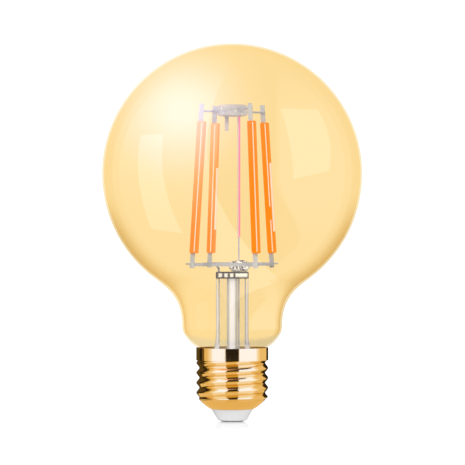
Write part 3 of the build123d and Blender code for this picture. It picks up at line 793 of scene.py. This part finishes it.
class LAMP_OT_globe(bpy.types.Operator):
    """Blow the amber glass globe"""

    bl_idname = "lamp.globe"
    bl_label = "Globe"

    BALL_ENDS = 51.95 * MM  # height where the ball turns into the neck
    WAIST = (18.2 * MM, 34.7 * MM)  # radius and height of the neck
    MOUTH = (13.0 * MM, 27.15 * MM)  # the same where the neck closes in over the cap
    MOUTH_SLOPE = math.radians(60)  # of the wall there, up from level
    TUBE = (11.5 * MM, 24.6 * MM)  # radius and height of the straight seal tube's top
    TUBE_ENDS = 19.8 * MM
    BALL_STEPS = 56
    BEND_STEPS = 16

    def outline(self, inset):
        """From the top pole to the end of the seal tube, as (radius, height)."""
        radius = globe_radius - inset
        drop = globe_centre.z - self.BALL_ENDS
        sweep = math.pi / 2 + math.asin(drop / radius)
        angles = [step * sweep / self.BALL_STEPS for step in range(self.BALL_STEPS + 1)]
        points = [
            Vector((radius * math.sin(angle), globe_centre.z + radius * math.cos(angle)))
            for angle in angles
        ]
        points[0].x = 0.0
        leaves = points[-1]
        way = Vector((-drop, -leaves.x)).normalized()
        waist = Vector((self.WAIST[0] - inset, self.WAIST[1]))
        mouth_way = -Vector((math.sin(self.MOUTH_SLOPE), math.cos(self.MOUTH_SLOPE)))
        mouth = Vector(self.MOUTH) + inset * Vector((mouth_way.y, -mouth_way.x))
        tube = Vector((self.TUBE[0] - inset, self.TUBE[1]))
        up = Vector((0, MM))
        for start, start_pull, end_pull, end in (
            (leaves, way * 6.05 * MM, up * 9.7, waist),
            (waist, up * -2.9, -mouth_way * 3.0 * MM, mouth),
            (mouth, mouth_way * MM, up, tube),
        ):
            bend = interpolate_bezier(
                start, start + start_pull, end + end_pull, end, self.BEND_STEPS + 1
            )
            points += [Vector(point[:2]) for point in bend[1:]]
        points.append(Vector((tube.x, self.TUBE_ENDS)))
        return points

    def execute(self, context):
        settings = context.scene.lamp_globe
        outer = self.outline(0)
        inner = self.outline(settings.wall)
        mesh = spun(
            "globe",
            outer + inner[::-1],
            settings.segments,
            lambda row: 0 if row < len(outer) else 1,
        )
        tint = tuple(settings.tint)
        outside = thin_glass("globe_outside", tint, settings.mirror)
        inside = thin_glass("globe_inside", tint, 0.0)
        piece = new_piece("globe", mesh, (outside, inside), ("glass_globe",))
        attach(piece, "root")
        return {"FINISHED"}


class LAMP_OT_cap(bpy.types.Operator):
    """Finish the screw cap, its insulator, contact and cement"""

    bl_idname = "lamp.cap"
    bl_label = "Cap"

    def execute(self, context):
        settings = context.scene.lamp_cap
        dress(cap_gold("cap_gold", tuple(settings.gold), settings.roughness), "cap_shell")
        dress(insulator_white("insulator", tuple(settings.insulator)), "cap_insulator")
        dress(bare_metal("contact_tin", (0.62, 0.62, 0.60), 0.25), "centre_contact")
        dress(moulded("basing_cement", (0.60, 0.55, 0.46), 0.8, 0.3), "basing_cement")
        return {"FINISHED"}


class LAMP_OT_stem(bpy.types.Operator):
    """Finish the glass stem, its press, its bead and the top hub"""

    bl_idname = "lamp.stem"
    bl_label = "Stem"

    LUMPS = (  # how often, where in the noise and how far the bead swells
        (1.7, Vector((3.1, 0.4, 7.7)), 0.16),
        (4.2, Vector((9.2, 1.4, 2.2)), 0.05),
    )
    MOST_SWELL = 1.08
    FLATNESS = 0.7  # below 1 gives the bead a flatter top and foot

    def bead(self):
        """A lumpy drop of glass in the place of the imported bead."""
        low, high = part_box("stem_bead")
        centre = (low + high) / 2
        half = (high - low) / 2
        work = bmesh.new()
        bmesh.ops.create_icosphere(work, subdivisions=5, radius=1.0)
        for vert in work.verts:
            way = vert.co.normalized()
            size = 1.0 + sum(
                noise.noise(way * often + shift) * far for often, shift, far in self.LUMPS
            )
            tall = math.copysign(abs(way.z) ** self.FLATNESS, way.z)
            reach = Vector((way.x * half.x, way.y * half.y, tall * half.z))
            vert.co = centre + reach * min(size, self.MOST_SWELL)
            vert.co.z = max(vert.co.z, low.z + 0.01 * MM)
        return finished_mesh("bead", work)

    def execute(self, context):
        # every stem glass below carries a painted glow
        flare = clear_stem("flare_glass", (0.70, 0.74, 0.95), (0.22, 0.23, 0.26), 0.03, 0.85)
        tube = lit_glass("exhaust_glass", (0.70, 0.75, 1.0), (0.40, 0.42, 0.50), 0.92, 0.55)
        press = press_glass("press_glass", (0.74, 0.80, 0.92), (0.03, 0.025, 0.02), 0.5)
        hub = hub_glass("hub_glass", (0.62, 0.68, 0.86), (0.95, 0.97, 1.0))
        dress(flare, "stem_flare")
        dress(tube, "exhaust_tube")
        dress(press, "stem_press")
        dress(hub, "top_hub")
        glass = bead_glass("bead_glass", (0.78, 0.84, 1.0), (0.008, 0.008, 0.008), 0.55)
        piece = new_piece("bead", self.bead(), (glass,), ("stem_bead",))
        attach(piece, "root")
        return {"FINISHED"}


class LAMP_OT_cage(bpy.types.Operator):
    """Finish the wires, rails, tabs, getter and sleeve round the filaments"""

    bl_idname = "lamp.cage"
    bl_label = "Cage"

    def execute(self, context):
        dress(
            bare_metal("nickel_wire", (0.58, 0.66, 0.90), 0.45, 0.25),
            "lead_wire_left",
            "lead_wire_right",
            "rail_front",
            "rail_back",
            "support_wire",
            "bridge_wire_lower",
            "bridge_wire_upper",
            "contact_wire",
            "shell_wire",
        )
        tab = bare_metal("nickel_tab", (0.64, 0.72, 0.94), 0.5, 0.2)
        dress(tab, *(f"filament_tabs_{number}" for number in range(1, 5)))
        dress(moulded("getter", (0.60, 0.62, 0.72), 0.7, 0.3), "getter_strip")
        dress(sleeve_pink("sleeve", (0.95, 0.30, 0.62), (0.58, 0.64, 0.70)), "support_sleeve")
        return {"FINISHED"}


class LAMP_OT_filaments(bpy.types.Operator):
    """Cast the four lit filament coats over their strips and dice"""

    bl_idname = "lamp.filaments"
    bl_label = "Filaments"

    SIDES = ((-1, -1), (-1, 1), (1, 1), (1, -1))  # corner of the cage, from filament 1 to 4
    CAGE_TURN = math.radians(-15)
    FOOT = (16.5 * MM, 61.5 * MM)  # distance from the axis, height
    HEAD = (13.2 * MM, 109.35 * MM)
    ASIDE = Vector((0.4 * MM, 0, 0))
    COAT_WIDTH = 3.2 * MM
    COAT_DEPTH = 2.7 * MM
    SCALLOP = 0.62 * MM  # pitch of the scalloped edges
    SCALLOP_STEPS = 6
    SCALLOP_ACROSS = 0.07 * MM
    SCALLOP_DEEP = 0.02 * MM
    ROUND_OFF = 0.45 * MM
    END_SIZE = 0.84  # an end's size against the middle's
    SQUARENESS = 0.55  # 1 is an oval bar, 0 a square one
    CORNERS = 32
    EDGE_LIGHT = (0.92, 0.34, 0.055)
    ROWS = {  # bright rows, of dice on the front and painted highlights on the side past 1.2 across: place across, lower and upper end, in millimetres
        1: ((0.4, 0.4, 47.6),),
        2: ((0.15, 0.4, 47.6), (1.3, 8.6, 31.6)),
        3: ((0.5, 17.0, 47.6), (0.55, 0.4, 12.3), (1.32, 7.8, 33.2)),
        4: ((0.7, 0.4, 47.6),),
    }

    def frame_of(self, number):
        """The filament's foot, length and axes: x across, y deep, z along."""
        side_x, side_y = self.SIDES[number - 1]
        turn = Matrix.Rotation(self.CAGE_TURN, 3, "Z")
        foot, head = (
            turn @ Vector((side_x * far / math.sqrt(2), side_y * far / math.sqrt(2), height))
            + self.ASIDE
            for far, height in (self.FOOT, self.HEAD)
        )
        along = (head - foot).normalized()
        deep = along.cross(turn @ Vector((1, 0, 0))).normalized()
        return foot, (head - foot).length, deep.cross(along), deep, along

    def coat(self, name, length):
        """A rounded bar with closely scalloped long edges, along its own z."""
        work = bmesh.new()
        rings = []
        steps = int(length / self.SCALLOP * self.SCALLOP_STEPS)
        for step in range(steps + 1):
            z = length * step / steps
            to_end = min(min(z, length - z) / self.ROUND_OFF, 1.0)
            swell = self.END_SIZE + (1 - self.END_SIZE) * math.sqrt(1 - (1 - to_end) ** 2)
            wave = 0.5 + 0.5 * math.cos(2 * math.pi * z / self.SCALLOP)
            half_x = (self.COAT_WIDTH / 2 - self.SCALLOP_ACROSS * wave) * swell
            half_y = (self.COAT_DEPTH / 2 - self.SCALLOP_DEEP * wave) * swell
            ring = []
            for corner in range(self.CORNERS):
                angle = 2 * math.pi * corner / self.CORNERS
                x, y = (
                    math.copysign(abs(part) ** self.SQUARENESS, part)
                    for part in (math.cos(angle), math.sin(angle))
                )
                ring.append(work.verts.new((x * half_x, y * half_y, z)))
            rings.append(ring)
        for first, second in zip(rings, rings[1:]):
            for here in range(self.CORNERS):
                after = (here + 1) % self.CORNERS
                work.faces.new((first[here], first[after], second[after], second[here]))
        work.faces.new(rings[0][::-1])
        work.faces.new(rings[-1])
        return finished_mesh(name, work)

    def execute(self, context):
        settings = context.scene.lamp_filaments
        phosphor = tuple(settings.phosphor)
        for number, rows in self.ROWS.items():
            foot, length, across, deep, along = self.frame_of(number)
            name = f"coat_{number}"
            material = filament_coat(
                f"phosphor_{number}",
                phosphor,
                # the two left filaments get the painted haze highlight at their tops
                tuple(settings.pale) if number < 3 else phosphor,
                self.EDGE_LIGHT,
                tuple(settings.line),
                settings.strength,
                rows,
            )
            covered = (
                f"filament_coat_{number}",
                f"filament_substrate_{number}",
                f"filament_chips_{number}",
            )
            piece = new_piece(name, self.coat(name, length), (material,), covered)
            axes = Matrix((across, deep, along)).transposed().to_4x4()
            piece.matrix_world = Matrix.Translation(foot) @ axes
            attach(piece, "root")
        return {"FINISHED"}


class LAMP_OT_driver(bpy.types.Operator):
    """Finish the driver and radio boards inside the cap"""

    bl_idname = "lamp.driver"
    bl_label = "Driver"

    def execute(self, context):
        board = circuit_board("board_green", (0.02, 0.13, 0.05), (0.10, 0.32, 0.10))
        tin = bare_metal("shield_tin", (0.60, 0.60, 0.58), 0.3, 0.85, (80, 80, 900))
        dress(board, "driver_board", "radio_board")
        dress(moulded("package_black", (0.02, 0.02, 0.02), 0.5), "bridge_rectifier", "driver_chip")
        dress(moulded("capacitor_sleeve", (0.02, 0.025, 0.05), 0.25), "bulk_capacitor")
        dress(moulded("ferrite", (0.05, 0.05, 0.055), 0.6, 0.4), "inductor_core")
        dress(enamelled_wire("winding", (0.60, 0.22, 0.08)), "inductor_winding")
        dress(moulded("resistor_body", (0.24, 0.42, 0.36), 0.45), "fuse_resistor")
        dress(tin, "radio_shield")
        dress(bare_metal("tinned_pads", (0.70, 0.70, 0.68), 0.2), "solder_pads")
        return {"FINISHED"}


class LAMP_OT_stage(bpy.types.Operator):
    """Set the camera, the soft lights, the backdrop and the pale floor"""

    bl_idname = "lamp.stage"
    bl_label = "Stage"

    SOFT_EDGE = 0.006  # of a mirrored box's sides
    SOFT_END = 0.005  # of a mirrored pane's top and foot
    FLOOR_REACH = 30.0
    FLOOR_LIGHT = 1.03  # brightness of the open floor near the lamp
    FLOOR_MATT = 0.2  # share of the floor that takes shadows
    FLOOR_MATT_LIGHT = 0.8  # what that share gives where nothing shades it
    FLOOR_GLOSS = 0.4
    SKY = ((20.0, 0.0), (20.0, 12.0), (12.0, 20.0), (0.0, 22.0))  # radius, height
    TENT = (
        (4.0 * MM, 0.6 * MM),
        (30.0 * MM, 0.6 * MM),
        (30.0 * MM, 30.5 * MM),
        (19.0 * MM, 33.5 * MM),
    )
    TENT_LIGHT = (
        (0.0, (0.020, 0.013, 0.006)),
        (0.25, (0.72, 0.43, 0.066)),
        (0.5, (0.93, 0.70, 0.34)),
        (0.75, (1.02, 0.95, 0.85)),
        (1.0, (1.08, 1.22, 1.7)),
    )

    def world(self, scene, backdrop):
        """A white sweep to the eye; mirrors see cool soft boxes and panes in a dark room.

        The boxes are laid out by the way a ball in the middle, seen from the front, shows them:
        across and up run from -1 to 1 over that ball.
        """
        world = bpy.data.worlds.new("studio")
        scene.world = world
        world.use_nodes = True
        sheet = Sheet(world.node_tree)
        _, x, y, z = sheet.place("Generated")
        length = (2.0 - y * 2.0) ** 0.5
        across, up = x / length, z / length
        down = -up
        out = off_axis(across, up)
        soft = self.SOFT_EDGE

        def curve(start, *factors):
            """A line up the ball, as the place across: a polynomial in up."""
            total, power = start, None
            for factor in factors:
                power = up if power is None else power * up
                total = power * factor + total
            return total

        def pane(left_side, right_side, top, tilt, foot):
            """A window pane between two curved sides, cut off by a tilted foot."""
            inside = (across - curve(*left_side)).above(-soft, soft)
            inside = inside * (across - curve(*right_side)).above(soft, -soft)
            inside = inside * up.above(top + self.SOFT_END, top - self.SOFT_END)
            tilted = up + across * tilt
            return inside * tilted.above(foot - self.SOFT_END, foot + self.SOFT_END)

        left = (across - curve(-0.168, -0.20, 0.52, -0.06)).above(soft, -soft)
        left = left * (1.0 - up.above(0.4, -0.5) * across.above(-0.10, -0.18) * 0.62)
        right_edge = down.above(0.05, 0.5) * 0.17 - down.above(0.5, 0.75) * 0.2 + 0.33
        right = (across - right_edge).above(-0.02, 0.05) * (up.above(-0.75, -0.1) * 0.5 + 0.5)
        bands = 1.0 - (out.above(0.855, 0.865) + out.above(0.91, 0.92)) * 0.5
        boxes = (left * 0.72 + right * 0.55) * up.above(0.92, 0.35) * bands
        pane_left = pane(
            (-0.711, -0.0555, 0.401), (-0.522, -0.109, 0.446), 0.293, 0.159, -0.519
        )
        pane_right = pane(
            (0.459, -0.0413, -0.317), (0.729, 0.264, -0.907), 0.487, -0.258, -0.167
        )
        spread = (across + 0.378) ** 2.0 + (up - 0.508) ** 2.0
        haze = spread.maths("EXPONENT", spread * -7.3) * 2.4
        light = boxes + pane_left * 0.7 + pane_right * 0.6 + haze
        tone = sheet.blend(haze.above(0.05, 0.6), (0.6, 0.54, 0.66), (0.6, 0.51, 0.86))
        mirrored = sheet.add("ShaderNodeBackground", None, {"Color": tone, "Strength": light})
        plain_light = 0.9
        plain = sheet.ray("Is Camera Ray") * (backdrop - plain_light) + plain_light
        sweep = sheet.add("ShaderNodeBackground", None, {"Color": WHITE, "Strength": plain})
        seen = sheet.mix(sheet.ray("Is Glossy Ray"), sweep, mirrored)
        sheet.finish(seen, "ShaderNodeOutputWorld")

    def floor(self, backdrop):
        """A pale floor that joins the sweep without a line; from below it is clear."""
        mesh = bpy.data.meshes.new("floor")
        reach = self.FLOOR_REACH
        corners = [(-reach, -reach, 0), (reach, -reach, 0), (reach, reach, 0), (-reach, reach, 0)]
        mesh.from_pydata(corners, [], [(0, 1, 2, 3)])
        material, sheet = new_sheet("floor_white")
        _, x, y, _ = sheet.place()
        far = off_axis(x, y).above(0.15, 0.5)
        near = off_axis(x, y).above(0.065, 0.025)
        own_light = self.FLOOR_LIGHT - self.FLOOR_MATT * self.FLOOR_MATT_LIGHT
        near_glow = sheet.glow(WHITE, own_light / (1 - self.FLOOR_MATT))
        matt = sheet.add("ShaderNodeBsdfDiffuse", None, {"Color": (0.88, 0.88, 0.88)})
        both = sheet.mix(
            far, sheet.mix(self.FLOOR_MATT, near_glow, matt), sheet.glow(WHITE, backdrop)
        )
        gloss = sheet.add("ShaderNodeBsdfGlossy", None, {"Color": WHITE, "Roughness": 0.02})
        top = sheet.mix(sheet.ray("Is Camera Ray") * near * self.FLOOR_GLOSS, both, gloss)
        sheet.finish(sheet.mix(sheet.behind(), top, sheet.clear(WHITE)))
        mesh.materials.append(material)
        floor = bpy.data.objects.new("floor", mesh)
        bpy.context.scene.collection.objects.link(floor)
        floor.visible_glossy = False
        floor.visible_diffuse = False
        return floor

    def glow_shell(self, name, mesh, mirror):
        """Puts a glowing shell in the scene that is seen only in the mirror of one object."""
        shell = bpy.data.objects.new(name, mesh)
        bpy.context.scene.collection.objects.link(shell)
        shell.visible_camera = False
        shell.visible_diffuse = False
        shell.visible_shadow = False
        shell.visible_transmission = False
        lit = bpy.data.collections.new(f"lit_by_{name}")
        lit.objects.link(mirror)
        shell.light_linking.receiver_collection = lit

    def sky(self, floor):
        """A white dome that only the floor mirrors; every other ray passes through it."""
        mesh = spun("sky", self.SKY, 32)
        material, sheet = new_sheet("sky_white")
        light, clear = sheet.glow(WHITE), sheet.clear(WHITE)
        both = sheet.add("ShaderNodeAddShader", None, {0: light.outputs[0], 1: clear.outputs[0]})
        sheet.finish(both)
        material.cycles.emission_sampling = "NONE"
        mesh.materials.append(material)
        self.glow_shell("sky", mesh, floor)

    def tent(self):
        """A small light tent that only the cap mirrors.

        Its light is laid out by the turn round the axis, in degrees from the front, with the
        left positive. Rays that came in through its wall pass out through it too.
        """
        mesh = spun("tent", self.TENT, 96)
        material, sheet = new_sheet("tent")
        _, x, y, z = sheet.place()
        turn = (-x).maths("ARCTAN2", -x, -y) * (180 / math.pi)
        aside = abs(turn)
        front_glow, side_glow, dark_glow, foot_glow = 0.25, 0.68, 0.045, 0.42
        left_fall = turn.above(50, 60) * 0.35 + turn.above(60, 72) * 0.25
        right_fall = turn.above(-64, -74) * 0.35 + turn.above(-74, -84) * 0.2
        foot = z.above(2 * MM, 1 * MM)
        under = foot * off_axis(x, y).above(16 * MM, 13 * MM)
        boxes = aside.above(16.4, 17.9) * (1.0 - left_fall - right_fall)
        boxes = boxes * (z.above(4 * MM, 24 * MM) * (1 - side_glow) + side_glow)
        boxes = boxes * turn.above(84.0, 79.0) * turn.above(-120.0, -114.0) * (1.0 - under)
        low = aside.above(17.9, 16.4) * z.above(20.5 * MM, 19 * MM) * front_glow
        stripe = turn.above(79.0, 84.0) - turn.above(90.0, 93.0) + turn.above(104.0, 108.0) * 0.6
        level = boxes.most(low.most(foot * foot_glow)).most(stripe * dark_glow)
        ramp = sheet.add("ShaderNodeValToRGB", {"stops": self.TENT_LIGHT}, {0: level})
        entered = sheet.ray("Transparent Depth").above(0.4, 0.6)
        clear = sheet.clear(WHITE)
        sheet.finish(sheet.mix(sheet.behind().most(entered), sheet.glow(ramp.outputs[0]), clear))
        mesh.materials.append(material)
        mesh.flip_normals()
        self.glow_shell("tent", mesh, nodes["cap_shell"])

    def soft_light(self, name, way, distance, size, power):
        """A soft light that mirrors don't see, turned to the globe's middle."""
        data = bpy.data.lights.new(name, "AREA")
        data.size = size
        data.energy = power
        light = bpy.data.objects.new(name, data)
        bpy.context.scene.collection.objects.link(light)
        way = Vector(way).normalized()
        light.location = globe_centre + way * distance
        light.rotation_mode = "QUATERNION"
        light.rotation_quaternion = way.to_track_quat("Z", "Y")
        light.visible_glossy = False
        light.visible_camera = False

    def camera(self, scene, settings):
        data = bpy.data.cameras.new("camera")
        data.lens = data.sensor_width * settings.distance / settings.width
        data.clip_end = 50.0
        camera = bpy.data.objects.new("camera", data)
        scene.collection.objects.link(camera)
        camera.location = (0.1 * MM, -settings.distance, settings.height)
        camera.rotation_euler = (math.radians(90), 0, 0)
        scene.camera = camera

    def execute(self, context):
        scene = context.scene
        settings = scene.lamp_stage
        self.camera(scene, settings)
        scene.view_settings.view_transform = "Standard"
        scene.cycles.transparent_max_bounces = 40
        scene.cycles.max_bounces = 12
        self.world(scene, settings.backdrop)
        self.sky(self.floor(settings.backdrop))
        self.tent()
        self.soft_light("key", (-0.5, -0.75, 0.6), 1.1, 0.5, 6.0)
        self.soft_light("fill", (0.8, -0.6, 0.25), 1.1, 0.6, 3.0)
        return {"FINISHED"}


class LAMP_PT_panel(bpy.types.Panel):
    bl_idname = "LAMP_PT_panel"
    bl_label = "Lamp"
    bl_space_type = "VIEW_3D"
    bl_region_type = "UI"
    bl_category = "Lamp"

    def draw(self, context):
        for operator in OPERATORS:
            self.layout.operator(operator.bl_idname)


SETTINGS = {
    "lamp_globe": GlobeSettings,
    "lamp_cap": CapSettings,
    "lamp_filaments": FilamentSettings,
    "lamp_stage": StageSettings,
}
OPERATORS = (
    LAMP_OT_stage,
    LAMP_OT_globe,
    LAMP_OT_cap,
    LAMP_OT_stem,
    LAMP_OT_cage,
    LAMP_OT_filaments,
    LAMP_OT_driver,
)


def register():
    for kind in (*SETTINGS.values(), *OPERATORS, LAMP_PT_panel):
        bpy.utils.register_class(kind)
    for name, kind in SETTINGS.items():
        setattr(bpy.types.Scene, name, PointerProperty(type=kind))


def unregister():
    for name in SETTINGS:
        delattr(bpy.types.Scene, name)
    for kind in (LAMP_PT_panel, *reversed(OPERATORS), *reversed(list(SETTINGS.values()))):
        bpy.utils.unregister_class(kind)


def main():
    register()
    bpy.ops.lamp.stage()
    bpy.ops.lamp.globe()
    bpy.ops.lamp.cap()
    bpy.ops.lamp.stem()
    bpy.ops.lamp.cage()
    bpy.ops.lamp.filaments()
    bpy.ops.lamp.driver()


if __name__ == "__main__":
    main()
